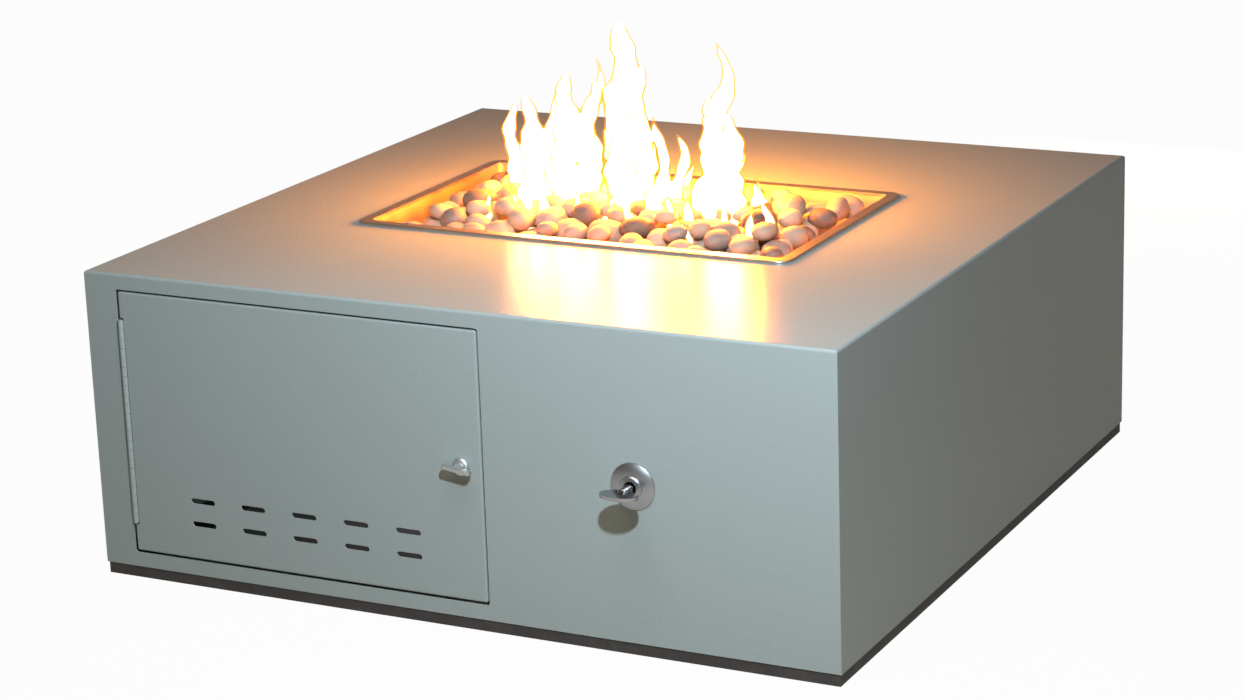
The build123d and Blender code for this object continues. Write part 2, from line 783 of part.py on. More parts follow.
# Air mixer, with two windows that draw in air
mixer_start = elbow_bend + collar_height
mixer_end = mixer_start + mixer_length
with BuildPart() as air_mixer:
    with BuildSketch(side_run(mixer_start)):
        Circle(mixer_radius)
    extrude(amount=mixer_length)
    with BuildSketch(side_run(mixer_start)):
        Circle(nipple_radius)
    extrude(amount=-nipple_engagement)
    with BuildSketch(side_run(mixer_end)):
        Circle(mixer_bore)
    extrude(amount=-fitting_spigot, mode=Mode.SUBTRACT)
    with BuildSketch(side_run(mixer_start - nipple_engagement)):
        Circle(nipple_bore)
    extrude(amount=mixer_length + nipple_engagement, mode=Mode.SUBTRACT)
    with BuildSketch(run_plane):
        with Locations(((mixer_start + mixer_end) / 2, 0)):
            SlotOverall(window_length, window_width)
    extrude(amount=mixer_radius, both=True, mode=Mode.SUBTRACT)

with BuildPart() as orifice_fitting:
    with BuildSketch(side_run(mixer_end)):
        hexagon(fitting_flats)
    extrude(amount=fitting_height)
    with BuildSketch(side_run(mixer_end)):
        Circle(mixer_bore - thread_gap)
    extrude(amount=-fitting_spigot + seat_gap)
    with BuildSketch(side_run(mixer_end + fitting_height)):
        Circle(flare_radius)
    extrude(amount=flare_length)
    with BuildSketch(side_run(mixer_end - fitting_spigot)):
        Circle(flare_bore)
    extrude(amount=fitting_spigot + fitting_height + flare_length, mode=Mode.SUBTRACT)


# Hose nuts: a hexagon over the flare, with a seat for the hose at its far end
def hose_nut(plane):
    with BuildPart() as nut:
        with BuildSketch(plane):
            hexagon(hose_nut_flats)
        extrude(amount=hose_nut_height)
        with BuildSketch(plane):
            Circle(flare_radius + thread_gap)
        extrude(amount=flare_length + seat_gap, mode=Mode.SUBTRACT)
        with BuildSketch(plane):
            Circle(hose_bore)
        extrude(amount=hose_nut_height, mode=Mode.SUBTRACT)
    return nut


hose_nut_burner = hose_nut(side_run(mixer_end + fitting_height))
adapter_top = valve_top + fitting_height
adapter_plane = Plane(origin=(valve_x, front + valve_depth, adapter_top), x_dir=(run_x, run_y, 0))
hose_nut_valve = hose_nut(adapter_plane)

with BuildPart() as valve_outlet_adapter:
    with BuildSketch(adapter_plane):
        hexagon(fitting_flats)
    extrude(amount=-fitting_height)
    with BuildSketch(adapter_plane.offset(-fitting_height)):
        Circle(port_radius - thread_gap)
    extrude(amount=-port_depth + seat_gap)
    with BuildSketch(adapter_plane):
        Circle(flare_radius)
    extrude(amount=flare_length)
    with BuildSketch(adapter_plane.offset(flare_length)):
        Circle(flare_bore)
    extrude(amount=-(flare_length + fitting_height + port_depth), mode=Mode.SUBTRACT)

# Flexible connector: straight off the burner, one wide bend down to the valve
hose_start = mixer_end + fitting_height + hose_nut_height
hose_low = adapter_top + hose_nut_height - elbow_z
with BuildLine(run_plane) as hose_line:
    Line((hose_start, 0), (run_length - hose_bend, 0))
    RadiusArc((run_length - hose_bend, 0), (run_length, -hose_bend), hose_bend)
    Line((run_length, -hose_bend), (run_length, hose_low))
with BuildPart() as gas_hose:
    with BuildSketch(side_run(hose_start)):
        Circle(hose_radius)
        Circle(hose_bore, mode=Mode.SUBTRACT)
    sweep(path=hose_line.line)


# River pebbles: irregular, flattened stones dropped one by one into the pan
class Rod:
    """A round bar that stones come to rest on."""

    def __init__(self, place, along, length, radius):
        self.place = place
        self.along = np.array(along)
        self.length = length
        self.radius = radius
        self.spread = math.hypot(length / 2, radius)
        self.reaches = self.reach(sky)

    def reach(self, directions):
        """How far the bar reaches from its middle in each direction."""
        share = directions @ self.along
        round_part = np.sqrt(np.maximum(0, 1 - share * share))
        return np.abs(share) * self.length / 2 + self.radius * round_part


class Stone:
    """A faceted pebble: one outline, drawn in towards its two flat ends, in its own frame."""

    rings = ((-1.0, 0.52), (-0.1, 1.0), (1.0, 0.5))

    def __init__(self, dice):
        self.length = dice.uniform(pebble_least, pebble_most)
        self.width = self.length * dice.uniform(*pebble_widths)
        self.height = self.length * dice.uniform(*pebble_heights)
        turn = dice.uniform(0, 2 * math.pi)
        lean = math.radians(dice.uniform(0, pebble_lean))
        toward = dice.uniform(0, 2 * math.pi)
        up = (math.sin(lean) * math.cos(toward), math.sin(lean) * math.sin(toward), math.cos(lean))
        self.frame = Plane(origin=(0, 0, 0), x_dir=(math.cos(turn), math.sin(turn), 0), z_dir=up)
        self.outline = []
        for side in range(pebble_sides):
            angle = 2 * math.pi * (side + dice.uniform(-pebble_skew, pebble_skew)) / pebble_sides
            self.outline.append((self.length * math.cos(angle), self.width * math.sin(angle)))
        axes = np.array([tuple(self.frame.x_dir), tuple(self.frame.y_dir), tuple(self.frame.z_dir)])
        corners = []
        for level, share in self.rings:
            corners += [(share * x, share * y, level * self.height) for x, y in self.outline]
        self.corners = np.array(corners) @ axes
        self.spread = np.linalg.norm(self.corners, axis=1).max()
        self.reaches = self.reach(sky)
        self.falls = self.reach(-sky)
        self.place = None
        self.tone = dice.random()

    def reach(self, directions):
        """How far the stone reaches from its middle in each direction."""
        return np.max(self.corners @ directions.T, axis=0)

    def solid(self):
        base = Plane(origin=self.place, x_dir=self.frame.x_dir, z_dir=self.frame.z_dir)
        with BuildPart() as stone:
            for level, share in self.rings:
                with BuildSketch(base.offset(level * self.height)):
                    Polygon(*[(share * x, share * y) for x, y in self.outline], align=None)
            loft(ruled=True)
        return stone.part


def spiral(count, low, high):
    """Directions spread evenly over the part of a sphere between two heights."""
    turn = math.pi * (3 - math.sqrt(5)) * np.arange(count)
    z = low + (high - low) * (np.arange(count) + 0.5) / count
    ring = np.sqrt(1 - z * z)
    return np.stack([ring * np.cos(turn), ring * np.sin(turn), z], axis=1)


def heights(directions, reaches, dx, dy):
    """For each parting direction, the height of one body over another that keeps them apart."""
    sideways = directions[:, 0] * dx + directions[:, 1] * dy
    return (reaches + pebble_gap - sideways) / directions[:, 2]


def resting_height(stone, other, x, y):
    dx, dy = x - other.place[0], y - other.place[1]
    if math.hypot(dx, dy) > stone.spread + other.spread:
        return -math.inf
    return other.place[2] + heights(sky, stone.falls + other.reaches, dx, dy).min()


def settled_height(stone, other, x, y):
    """The resting height again, with ever closer directions round the best one."""
    dx, dy = x - other.place[0], y - other.place[1]
    if math.hypot(dx, dy) > stone.spread + other.spread:
        return -math.inf
    best = sky[np.argmin(heights(sky, stone.falls + other.reaches, dx, dy))]
    for cone in (0.05, 0.015, 0.005):
        near = best + cone * spiral(300, -1, 1)
        near = near[near[:, 2] > 0.001]
        near /= np.linalg.norm(near, axis=1, keepdims=True)
        tops = heights(near, stone.reach(-near) + other.reach(near), dx, dy)
        best = near[np.argmin(tops)]
    return other.place[2] + tops.min()


def heap_top(x, y):
    """How high the heap may reach at a place in the pan."""
    to_wall = min(basin_length / 2 - abs(x), basin_width / 2 - abs(y))
    share = min(1, to_wall / pebble_slope)
    return rim_z + pebble_edge + (pebble_crown - pebble_edge) * share


sky = spiral(2500, 0.01, 1)
dice = random.Random(pebble_seed)
under_stones = [
    Rod((0, -burner_spacing / 2, burner_z), (1, 0, 0), burner_length, burner_radius),
    Rod((0, burner_spacing / 2, burner_z), (1, 0, 0), burner_length, burner_radius),
    Rod((0, 0, burner_z), (0, 1, 0), burner_spacing, burner_radius),
    Rod((0, 0, (floor_z + burner_z) / 2), (0, 0, 1), burner_z - floor_z, hub_radius),
    Rod((0, 0, floor_z + nut_height / 2), (0, 0, 1), nut_height, nut_flats / math.sqrt(3)),
]
heap = []
for drop in range(pebble_drops):
    stone = Stone(dice)
    low, high = stone.corners.min(axis=0), stone.corners.max(axis=0)
    room_x = basin_length / 2 - pebble_end_gap - max(high[0], -low[0])
    room_y = basin_width / 2 - pebble_wall_gap - max(high[1], -low[1])
    on_floor = floor_z + pebble_gap - low[2]
    places = [(dice.uniform(-room_x, room_x), dice.uniform(-room_y, room_y)) for attempt in range(pebble_tries)]
    carriers = under_stones + heap
    excess = []
    for x, y in places:
        rest = max(on_floor, max(resting_height(stone, other, x, y) for other in carriers))
        excess.append(rest + high[2] - heap_top(x, y))
    x, y = places[int(np.argmin(excess))]
    z = max(on_floor, max(settled_height(stone, other, x, y) for other in carriers))
    if z + high[2] < heap_top(x, y):
        stone.place = (x, y, float(z))
        heap.append(stone)

pebble_tones = {
    "pebbles_pale": (0.0, pale_share),
    "pebbles_grey": (pale_share, pale_share + grey_share),
    "pebbles_dark": (pale_share + grey_share, 1.0),
}
pebbles = {}
for name, (low, high) in pebble_tones.items():
    stones = [stone.solid() for stone in heap if low <= stone.tone < high]
    with BuildPart() as pebbles[name]:
        add(stones, clean=False)

# Write one file for each piece
pieces = {
    "top_panel": top_panel,
    "front_panel": front_panel,
    "back_panel": back_panel,
    "left_panel": left_panel,
    "right_panel": right_panel,
    "base_frame": base_frame,
    "corner_braces": corner_braces,
    "door_stop_top": door_stop_top,
    "door_stop_bottom": door_stop_bottom,
    "door_strike": door_strike,
    "door_panel": door_panel,
    "hinge_body_leaf": hinge_body_leaf,
    "hinge_door_leaf": hinge_door_leaf,
    "hinge_pin": hinge_pin,
    "latch_housing": latch_housing,
    "latch_nut": latch_nut,
    "latch_wing": latch_wing,
    "latch_cam": latch_cam,
    "cam_screw": cam_screw,
    "valve_body": valve_body,
    "valve_bonnet": valve_bonnet,
    "valve_locknut": valve_locknut,
    "valve_spindle": valve_spindle,
    "escutcheon": escutcheon,
    "gas_key": gas_key,
    "burner_pan": burner_pan,
    "h_burner": h_burner,
    "burner_feet": burner_feet,
    "inlet_nipple": inlet_nipple,
    "pan_nuts": pan_nuts,
    "pipe_elbow": pipe_elbow,
    "air_mixer": air_mixer,
    "orifice_fitting": orifice_fitting,
    "hose_nut_burner": hose_nut_burner,
    "hose_nut_valve": hose_nut_valve,
    "valve_outlet_adapter": valve_outlet_adapter,
    "gas_hose": gas_hose,
    **pebbles,
}
os.makedirs("parts", exist_ok=True)
for name, piece in pieces.items():
    piece.part.label = name
    export_step(piece.part, f"parts/{name}.step")
print(len(pieces), "pieces,", len(heap), "pebbles")
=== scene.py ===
# %% [markdown]
# A gas fire pit, dressed for a studio picture.
# The exact solids of the case, the door, the valve and the burner come in as a fixed frame, in metres.
# This lesson gives each of them its finish, swaps the faceted pebbles for water-worn ones, lights the gas
# and stands a camera where the photographer stood.

# %% Load the frame
import math
import random

import bmesh
import bpy
import numpy as np
from mathutils import Matrix, Vector, noise


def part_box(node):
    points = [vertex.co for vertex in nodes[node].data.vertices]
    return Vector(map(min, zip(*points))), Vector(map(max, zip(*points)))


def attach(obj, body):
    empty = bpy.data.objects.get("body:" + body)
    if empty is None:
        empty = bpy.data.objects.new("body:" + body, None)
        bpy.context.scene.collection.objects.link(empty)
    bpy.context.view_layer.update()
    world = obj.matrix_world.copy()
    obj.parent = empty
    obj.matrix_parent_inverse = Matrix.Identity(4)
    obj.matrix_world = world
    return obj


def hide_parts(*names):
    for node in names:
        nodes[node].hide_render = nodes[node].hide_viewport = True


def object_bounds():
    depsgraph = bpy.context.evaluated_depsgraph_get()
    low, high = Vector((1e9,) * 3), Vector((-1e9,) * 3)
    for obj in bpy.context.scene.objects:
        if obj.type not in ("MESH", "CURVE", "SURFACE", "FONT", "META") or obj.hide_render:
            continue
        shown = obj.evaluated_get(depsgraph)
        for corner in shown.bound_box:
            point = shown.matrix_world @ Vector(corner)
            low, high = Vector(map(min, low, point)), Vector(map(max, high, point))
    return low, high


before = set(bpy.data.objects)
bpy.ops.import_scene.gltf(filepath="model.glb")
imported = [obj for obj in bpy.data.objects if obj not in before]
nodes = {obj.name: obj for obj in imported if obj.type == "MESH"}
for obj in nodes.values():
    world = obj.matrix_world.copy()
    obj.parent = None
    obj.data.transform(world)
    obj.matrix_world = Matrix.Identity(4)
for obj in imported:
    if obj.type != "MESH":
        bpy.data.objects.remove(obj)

cad_low, cad_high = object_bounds()
print(len(nodes), "solids, box", [round(v, 3) for v in cad_low], [round(v, 3) for v in cad_high])

# %% [markdown]
# The camera. The case is a square box, so its seven visible corners in the photograph fix the lens, the place
# and the small roll of the camera. A matrix built from the viewing direction keeps all three exact,
# where a Track To constraint would lose the roll.

# %% Camera
IMAGE_WIDTH = 1244
FOCAL_PIXELS = 3146.5
SENSOR = 36.0
FAR_LIMIT = 100.0
CAMERA_PLACE = Vector((1.911, -3.7537, 1.4532))
LOOK = Vector((-0.4392, 0.8533, -0.2811)).normalized()
ROLL = math.radians(1.93)

level_right = LOOK.cross(Vector((0, 0, 1))).normalized()
level_up = level_right.cross(LOOK)
right = math.cos(ROLL) * level_right - math.sin(ROLL) * level_up
up = right.cross(LOOK)
lens = bpy.data.cameras.new("studio_camera")
lens.sensor_width = SENSOR
lens.lens = FOCAL_PIXELS / IMAGE_WIDTH * SENSOR
lens.clip_end = FAR_LIMIT
camera = bpy.data.objects.new("studio_camera", lens)
turn = Matrix((right, up, -LOOK)).transposed().to_4x4()
camera.matrix_world = Matrix.Translation(CAMERA_PLACE) @ turn
bpy.context.scene.collection.objects.link(camera)
bpy.context.scene.camera = camera
print("lens", round(lens.lens, 1), "mm")

# %% [markdown]
# Shader maths. A node tree is easier to read as a sum than as a row of Math nodes, so one small class wraps a
# socket: adding or multiplying two of them adds the Math node that does it. Everything else, such as a noise
# or a ramp, comes from one method that sets the node up and links its sockets.

# %% Shader helper
class Tone:
    """A socket that can be added, multiplied and compared like a number."""

    def __init__(self, tree, socket):
        self.tree = tree
        self.socket = socket

    def maths(self, operation, first, second=None):
        node = self.tree.nodes.new("ShaderNodeMath")
        node.operation = operation
        for place, value in zip(node.inputs, (first, second)):
            if isinstance(value, Tone):
                self.tree.links.new(value.socket, place)
            elif value is not None:
                place.default_value = value
        return Tone(self.tree, node.outputs[0])

    def __add__(self, other):
        return self.maths("ADD", self, other)

    def __radd__(self, other):
        return self.maths("ADD", other, self)

    def __sub__(self, other):
        return self.maths("SUBTRACT", self, other)

    def __rsub__(self, other):
        return self.maths("SUBTRACT", other, self)

    def __mul__(self, other):
        return self.maths("MULTIPLY", self, other)

    def __rmul__(self, other):
        return self.maths("MULTIPLY", other, self)

    def __truediv__(self, other):
        return self.maths("DIVIDE", self, other)

    def absolute(self):
        return self.maths("ABSOLUTE", self)

    def at_most(self, other):
        return self.maths("MINIMUM", self, other)

    def at_least(self, other):
        return self.maths("MAXIMUM", self, other)

    def clipped(self):
        return self.at_least(0.0).at_most(1.0)


class Shader:
    """A node tree under construction: node() adds any node, and the rest are short names for common ones."""

    def __init__(self, tree):
        self.tree = tree
        tree.nodes.clear()

    def node(self, kind, out=0, settings=None, **sockets):
        """A socket goes by its name, with _ for a space, or by a _ and its number."""
        made = self.tree.nodes.new("ShaderNode" + kind)
        for name, value in (settings or {}).items():
            setattr(made, name, value)
        for name, value in sockets.items():
            place = made.inputs[int(name[1:]) if name[0] == "_" else name.replace("_", " ")]
            if isinstance(value, Tone):
                self.tree.links.new(value.socket, place)
            else:
                place.default_value = value
        return Tone(self.tree, made.outputs[out])

    def place(self, stretch=(1, 1, 1)):
        """Object coordinates in metres, stretched for grain that runs one way."""
        here = self.node("TexCoord", out=3)
        return self.node("Mapping", Vector=here, Scale=stretch)

    def noise(self, scale, detail=3.0, rough=0.55, stretch=(1, 1, 1)):
        here = self.place(stretch)
        return self.node("TexNoise", Vector=here, Scale=scale, Detail=detail, Roughness=rough)

    def ramp(self, value, low, high):
        """0 up to the low value, 1 from the high value on."""
        made = self.node("ValToRGB", Fac=value)
        black, white = made.socket.node.color_ramp.elements
        black.position = low
        white.position = high
        return made

    def blend(self, share, first, second):
        return self.node("Mix", out=2, settings={"data_type": "RGBA"}, _0=share, _6=first, _7=second)

    def bump(self, height, depth, strength=1.0):
        return self.node("Bump", Height=height, Distance=depth, Strength=strength)

    def axes(self, vector):
        """The x, y and z of a vector, each as a number."""
        split = self.node("SeparateXYZ", Vector=vector)
        return [Tone(self.tree, place) for place in split.socket.node.outputs]


class Finish(Shader):
    """The shader of a new material."""

    def __init__(self, name):
        self.material = bpy.data.materials.new(name)
        self.material.use_nodes = True
        super().__init__(self.material.node_tree)
        self.output = self.tree.nodes.new("ShaderNodeOutputMaterial")

    def ends_in(self, made, socket="Surface"):
        self.tree.links.new(made.socket, self.output.inputs[socket])
        return self.material

    def surface(self, **sockets):
        """The Principled surface that every solid finish ends in."""
        return self.ends_in(self.node("BsdfPrincipled", **sockets))


def colour(red, green, blue):
    """A colour written as the eye sees it, 0 to 255, turned into the linear light that a shader adds up."""
    linear = []
    for channel in (red, green, blue):
        share = channel / 255
        linear.append(share / 12.92 if share <= 0.04045 else ((share + 0.055) / 1.055) ** 2.4)
    return (*linear, 1.0)


WHITE = (1.0, 1.0, 1.0, 1.0)
print("helpers ready")

# %% [markdown]
# The powder coat. Powder is sprayed on dry and melts into an even satin skin with a faint orange peel, a few
# millimetres from crest to crest. The colour hardly changes over a panel, so the life of the finish is in its
# roughness and in the bump that breaks up reflections.

# %% Grey powder coat
CLOUDING = 0.03
PEEL_DEPTH = 0.00024


def powder_coat(name, shade):
    finish = Finish(name)
    cloud = finish.noise(3.0, detail=2.0)
    peel = finish.noise(320.0, detail=1.5)
    grain = finish.noise(900.0, detail=1.0)
    dark = (*((1.0 - CLOUDING) * channel for channel in shade[:3]), 1.0)
    pale = (*((1.0 + CLOUDING) * channel for channel in shade[:3]), 1.0)
    return finish.surface(
        Base_Color=finish.blend(cloud, dark, pale),
        Specular_IOR_Level=0.24,
        Roughness=0.19 + 0.03 * cloud + 0.04 * grain,
        Normal=finish.bump(peel + 0.15 * grain, PEEL_DEPTH),
    )


GREY = colour(150, 160, 159)
grey_coat = powder_coat("grey_powder_coat", GREY)
print("powder coat", [round(v, 3) for v in GREY[:3]])

# %% [markdown]
# The black parts. The base frame is satin black paint that has picked up dust along the ground, and its
# near-black is also a painted shade for the dark gap under the case. The pipe fittings are black malleable
# iron, rougher and a little metallic.

# %% Black paint and black iron
def black_paint_and_gap_shade():
    finish = Finish("black_base_paint_and_gap_shade")
    dust = finish.noise(26.0, detail=5.0, rough=0.65)
    haze = finish.ramp(dust, 0.45, 0.8)
    return finish.surface(
        # this near-black is the frame's paint and also a painted shade for the gap under the case
        Base_Color=finish.blend(0.5 * haze, colour(52, 48, 48), colour(84, 79, 76)),
        Roughness=0.48 + 0.25 * dust,
        Normal=finish.bump(finish.noise(420.0), 0.00015, 0.5),
    )


def black_iron():
    finish = Finish("black_malleable_iron")
    skin = finish.noise(180.0, detail=6.0, rough=0.6)
    return finish.surface(
        Base_Color=finish.blend(skin, colour(34, 33, 33), colour(66, 63, 60)),
        Metallic=0.5,
        Roughness=0.5 + 0.25 * skin,
        Normal=finish.bump(skin, 0.0004, 0.6),
    )


base_black_and_gap_shade = black_paint_and_gap_shade()
pipe_iron = black_iron()
print("black finishes ready")

# %% [markdown]
# The metals. Stainless sheet is brushed along its length, so its noise is squeezed across the grain. Below
# the pan's rim the fire has dulled it and given it a straw tint. Chrome is nearly a mirror with a few finger
# marks, and machined brass carries fine turning lines.

# %% Stainless, chrome, brass and zinc
RIM_LIP = 0.003
HEAT_FADE = 0.002
BELOW_GROUND = -1.0


def stainless(name, stretch, heated_below=BELOW_GROUND):
    finish = Finish(name)
    height = finish.axes(finish.place())[2]
    heat = ((heated_below - height) / HEAT_FADE).clipped()
    grain = finish.noise(14.0, detail=4.0, rough=0.7, stretch=stretch)
    cloud = finish.noise(9.0, detail=3.0)
    steel = finish.blend(grain, colour(176, 172, 165), colour(212, 209, 203))
    straw = finish.blend(0.4 * heat * (0.5 + cloud), steel, colour(216, 178, 90))
    return finish.surface(
        Base_Color=straw,
        Metallic=1.0,
        Roughness=0.26 + 0.16 * heat + 0.16 * grain + 0.06 * cloud,
        Normal=finish.bump(grain, 0.00004, 0.6),
    )


def chrome_plate(name, rough):
    finish = Finish(name)
    marks = finish.noise(60.0, detail=4.0, rough=0.6)
    smudge = finish.ramp(marks, 0.52, 0.75)
    return finish.surface(
        Base_Color=finish.blend(smudge, colour(168, 171, 176), colour(156, 158, 162)),
        Metallic=1.0,
        Roughness=rough + 0.12 * smudge,
    )


def machined(name, low, high, rough):
    finish = Finish(name)
    lines = finish.noise(30.0, detail=3.0, stretch=(1, 1, 26))
    stain = finish.noise(55.0, detail=5.0)
    return finish.surface(
        Base_Color=finish.blend(stain, low, high),
        Metallic=1.0,
        Roughness=rough + 0.14 * stain + 0.08 * lines,
        Normal=finish.bump(lines, 0.00005, 0.5),
    )


rim_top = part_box("burner_pan")[1][2]
pan_steel = stainless("brushed_stainless_pan", (1, 26, 26), heated_below=rim_top - RIM_LIP)
tube_steel = stainless("brushed_stainless_tube", (2, 2, 26))
chrome = chrome_plate("chrome_plate", 0.12)
satin_chrome = chrome_plate("satin_chrome", 0.36)
brass = machined("machined_brass", colour(168, 128, 62), colour(212, 176, 98), 0.24)
# a painted shade: the bonnet and spindle brass is darkened to stand for the dark bore of the escutcheon
brass_painted_shade = machined("brass_painted_shade", colour(62, 52, 40), colour(96, 80, 56), 0.4)
latch_zinc = machined("satin_latch_zinc", colour(186, 191, 191), colour(206, 210, 210), 0.36)
zinc = machined("zinc_plate", colour(166, 168, 170), colour(206, 206, 202), 0.3)
print("metals ready")

# %% [markdown]
# Which finish goes on which solid. The shapes are right as they are, so a solid keeps its mesh and only its
# material changes.

# %% Dress the solids
dressing = {
    grey_coat: (
        "top_panel front_panel back_panel left_panel right_panel door_panel hinge_body_leaf hinge_door_leaf "
        "door_stop_top door_stop_bottom door_strike"
    ),
    latch_zinc: "latch_housing latch_wing",
    base_black_and_gap_shade: "base_frame corner_braces",
    pan_steel: "burner_pan",
    tube_steel: "h_burner burner_feet hinge_pin gas_hose latch_cam",
    pipe_iron: "inlet_nipple pan_nuts pipe_elbow",
    zinc: "air_mixer latch_nut cam_screw",
    brass: "orifice_fitting hose_nut_burner hose_nut_valve valve_outlet_adapter valve_body valve_locknut",
    # the bonnet and spindle take the darkened brass, a painted shade for the bore
    brass_painted_shade: "valve_bonnet valve_spindle",
    satin_chrome: "escutcheon",
    chrome: "gas_key",
}
for finish, names in dressing.items():
    for name in names.split():
        solid = nodes[name].data
        solid.materials.clear()
        solid.materials.append(finish)
print(sum(len(names.split()) for names in dressing.values()), "solids dressed")

# %% [markdown]
# River pebbles. Each stone in the frame is a faceted solid, right in size and place. Its own corners give its
# middle, its three directions and its half lengths, and a ball moulded to those, with a few shallow hollows,
# is a water-worn stone that lies in the same space. A number stored on each stone lets one material give
# every stone its own shade.

# %% Worn pebbles
SAME_CORNER = 1e-5
STONE_SUBDIVISIONS = 3
STONE_SWELL = 1.03
STONE_HOLLOW = 0.055
BROAD_HOLLOWS = 1.1
SMALL_HOLLOWS = 2.4
SMALL_SHARE = 0.5
STONE_FULLNESS = (1.0, 1.16)
STONE_SMOOTHING = 0.5
NOISE_SPAN = 50


def stone_islands(mesh):
    """The separate stones of one solid, as arrays of corner points, in the order of its mesh."""
    bm = bmesh.new()
    bm.from_mesh(mesh)
    bmesh.ops.remove_doubles(bm, verts=bm.verts, dist=SAME_CORNER)
    reached = set()
    islands = []
    for first in bm.verts:
        if first in reached:
            continue
        reached.add(first)
        front = [first]
        island = []
        while front:
            corner = front.pop()
            island.append(corner.co[:])
            for edge in corner.link_edges:
                other = edge.other_vert(corner)
                if other not in reached:
                    reached.add(other)
                    front.append(other)
        islands.append(np.array(island))
    bm.free()
    return islands


def stone_frame(points):
    """Middle, directions and half lengths of a stone, from its corners."""
    middle = (points.max(axis=0) + points.min(axis=0)) / 2
    spread = np.cov((points - points.mean(axis=0)).T)
    directions = np.linalg.eigh(spread)[1].T
    along = (points - middle) @ directions.T
    middle = middle + directions.T @ ((along.max(axis=0) + along.min(axis=0)) / 2)
    reach = (along.max(axis=0) - along.min(axis=0)) / 2
    return Vector(middle), directions, reach


def pour(part, whole):
    """Add one finished shape to the mesh that collects them. Operators are quick on a small mesh."""
    carrier = bpy.data.meshes.new("carrier")
    part.to_mesh(carrier)
    part.free()
    whole.from_mesh(carrier)
    bpy.data.meshes.remove(carrier)


def worn_stone(points, dice):
    stone = bmesh.new()
    shade = stone.verts.layers.float.new("stone_shade")
    middle, directions, reach = stone_frame(points)
    bmesh.ops.create_icosphere(stone, subdivisions=STONE_SUBDIVISIONS, radius=1.0)
    seed = Vector([dice.uniform(-NOISE_SPAN, NOISE_SPAN) for _ in range(3)])
    own_shade = dice.random()
    fullness = dice.uniform(*STONE_FULLNESS)
    for corner in stone.verts:
        way = corner.co.copy()
        broad = noise.noise(BROAD_HOLLOWS * way + seed)
        small = noise.noise(SMALL_HOLLOWS * way - seed)
        swell = 1 + STONE_HOLLOW * (broad + SMALL_SHARE * small)
        boxy = Vector([math.copysign(abs(v) ** (1 / fullness), v) for v in way])
        local = [swell * STONE_SWELL * v * r for v, r in zip(boxy, reach)]
        corner.co = middle + Vector(directions.T @ np.array(local))
        corner[shade] = own_shade
    bmesh.ops.smooth_vert(
        stone, verts=stone.verts, factor=STONE_SMOOTHING, use_axis_x=True, use_axis_y=True, use_axis_z=True)
    bmesh.ops.recalc_face_normals(stone, faces=stone.faces)
    return stone


def worn_pebbles(node_name):
    bm = bmesh.new()
    dice = random.Random(node_name)
    islands = stone_islands(nodes[node_name].data)
    for points in islands:
        pour(worn_stone(points, dice), bm)
    mesh = bpy.data.meshes.new("worn_" + node_name)
    bm.to_mesh(mesh)
    bm.free()
    mesh.shade_smooth()
    piece = bpy.data.objects.new("worn_" + node_name, mesh)
    bpy.context.scene.collection.objects.link(piece)
    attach(piece, "case")
    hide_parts(node_name)
    print(piece.name, len(islands), "stones", len(mesh.polygons), "faces")
    return piece


def river_stone(name, low, high, fleck):
    finish = Finish(name)
    own = finish.node("Attribute", out=2, settings={"attribute_name": "stone_shade"})
    mottle = finish.noise(70.0, detail=6.0, rough=0.6)
    speck = finish.noise(620.0, detail=3.0, rough=0.7)
    flecks = finish.ramp(speck, 0.58, 0.66)
    body = finish.blend((0.7 * own + 0.6 * mottle - 0.15).clipped(), low, high)
    return finish.surface(
        Base_Color=finish.blend(0.35 * flecks, body, fleck),
        Roughness=0.5 + 0.25 * mottle,
        Normal=finish.bump(mottle + 0.3 * speck, 0.0007, 0.5),
    )


stone_finishes = {
    "pebbles_pale": river_stone(
        "pale_river_stone", colour(154, 134, 116), colour(190, 172, 154), colour(128, 108, 92)),
    "pebbles_grey": river_stone(
        "grey_river_stone", colour(122, 114, 108), colour(164, 154, 146), colour(92, 84, 80)),
    "pebbles_dark": river_stone(
        "dark_river_stone", colour(88, 76, 68), colour(128, 112, 102), colour(150, 138, 126)),
}
for node_name, finish in stone_finishes.items():
    heap = worn_pebbles(node_name)
    heap.data.materials.append(finish)

# %% [markdown]
# The fire. Burning gas isn't a piece of the object, so the flames belong to the set, with the floor and the
# lamps. A flame is hot soot that glows through its whole depth: where a ray crosses much of it, it is white,
# and where it crosses little, only yellow and orange are left. A volume that gives light and takes away blue
# does just that, and it looks right from every side, which a painted sheet would not.

# %% Flame finish
MANTLE_FILTER = 170.0
MANTLE_GLOW = 120.0
CORE_GLOW = 1500.0


def flame_mantle():
    """The thin outside of the flame: it takes blue out of what is behind it, and glows orange."""
    finish = Finish("flame_mantle")
    light = finish.node("Emission", Color=(1.0, 0.42, 0.04, 1.0), Strength=MANTLE_GLOW)
    filtering = finish.node("VolumeAbsorption", Color=(0.98, 0.5, 0.0, 1.0), Density=MANTLE_FILTER)
    return finish.ends_in(finish.node("AddShader", _0=light, _1=filtering), "Volume")


def flame_core():
    """The hot inside, which only adds light."""
    finish = Finish("flame_core")
    light = finish.node("Emission", Color=(1.0, 0.95, 0.86, 1.0), Strength=CORE_GLOW)
    return finish.ends_in(light, "Volume")


print("flame ready")

# %% [markdown]
# Each tongue of flame is a disc that is pushed upwards in short steps. At every step the ring is drawn in,
# turned a little and swayed to one side, so that the tongue swells above the stones, twists and ends in a
# tip. The tall ones stand over the burner's middle, low ones fill the foot of the fire, and small ones lick
# round the stones above its two bars. The white core is the same tongues, thinner by the fringe all round, so
# it ends below their tips. A voxel remesh melts each set into one closed skin.

